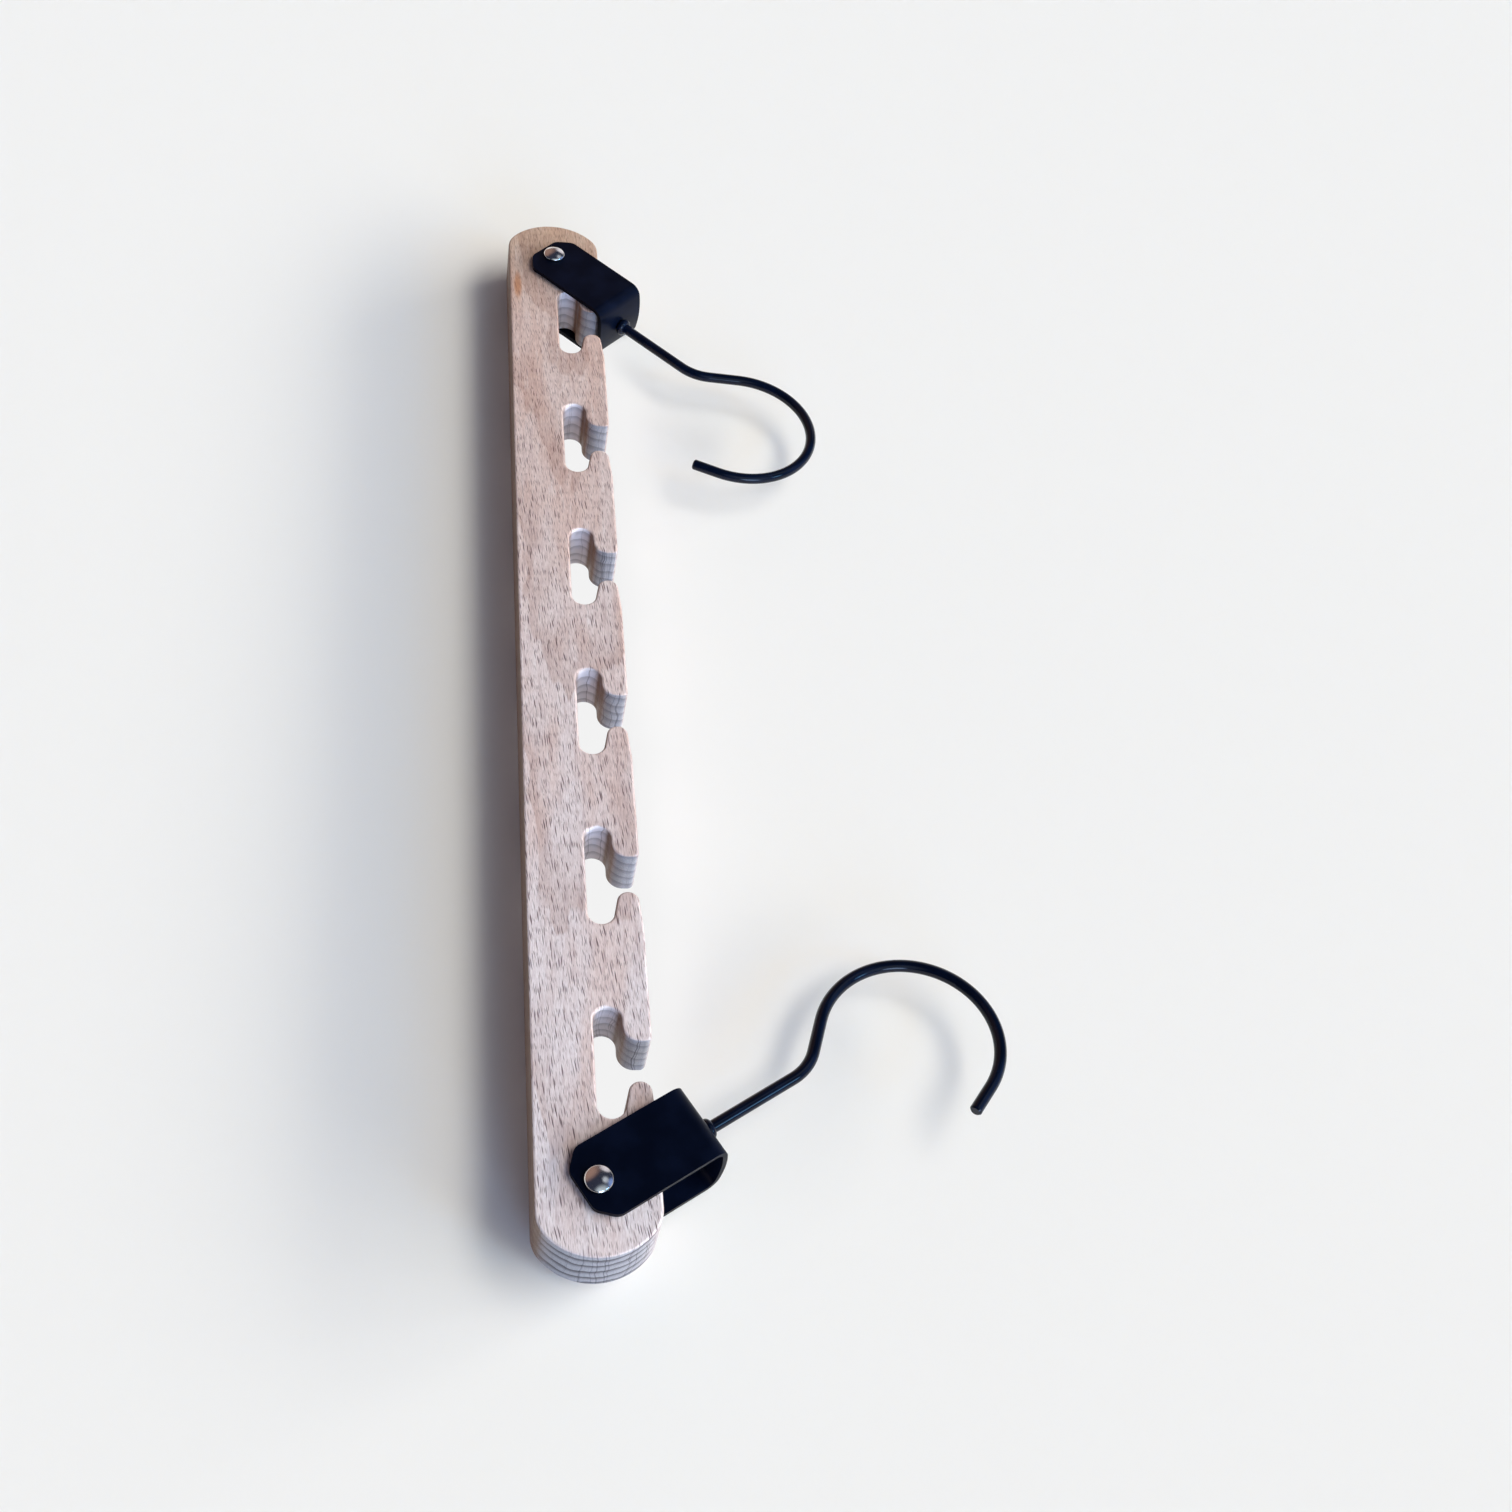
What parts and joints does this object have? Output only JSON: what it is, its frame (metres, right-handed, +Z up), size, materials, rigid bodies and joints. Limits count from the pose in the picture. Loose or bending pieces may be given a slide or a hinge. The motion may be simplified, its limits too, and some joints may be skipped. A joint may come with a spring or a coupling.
{
  "type": "space saving clothes hanger",
  "caption": "Slotted wooden bar with a turning U bracket and a swivelling wire hook at each end; garment hangers hang in its slots.",
  "frame": {"origin": "on the supporting surface, under the middle of the whole footprint, with the hanger lying flat as it is put down", "axes": "+Z up, out of the bar's upper face; +Y along the bar, from the front bracket to the rear one; +X from the bar's straight edge to its slotted edge"},
  "size_m": [0.1302, 0.391, 0.0245],
  "materials": {
    "beech": "sanded beech with a thin clear matt lacquer",
    "bracket_paint": "semi-gloss black stove enamel on sheet steel",
    "rivet_nickel": "polished nickel plate",
    "hook_paint": "gloss black enamel on steel wire"
  },
  "bodies": {
    "bar": {"bar": "beech", "front_rivet": "rivet_nickel", "front_rivet_cap": "rivet_nickel", "rear_rivet": "rivet_nickel", "rear_rivet_cap": "rivet_nickel"},
    "front_bracket": {"front_bracket": "bracket_paint"},
    "rear_bracket": {"rear_bracket": "bracket_paint"},
    "front_hook": {"front_hook": "hook_paint"},
    "rear_hook": {"rear_hook": "hook_paint"}
  },
  "joints": [
    {"name": "front_bracket_pivot", "type": "hinge", "parent": "bar", "child": "front_bracket", "pos_m": [-0.04915, -0.1763, 0.0119], "axis": [0, 0, 1], "range_deg": [-251, 24]},
    {"name": "rear_bracket_pivot", "type": "hinge", "parent": "bar", "child": "rear_bracket", "pos_m": [-0.04915, 0.1763, 0.0119], "axis": [0, 0, 1], "range_deg": [-3, 265.5]},
    {"name": "front_hook_swivel", "type": "hinge", "parent": "front_bracket", "child": "front_hook", "pos_m": [-0.02041, -0.15957, 0.0119], "axis": [0.8643, 0.503, 0], "continuous": true},
    {"name": "rear_hook_swivel", "type": "hinge", "parent": "rear_bracket", "child": "rear_hook", "pos_m": [-0.02556, 0.15287, 0.0119], "axis": [0.7096, -0.7046, 0], "continuous": true}
  ]
}
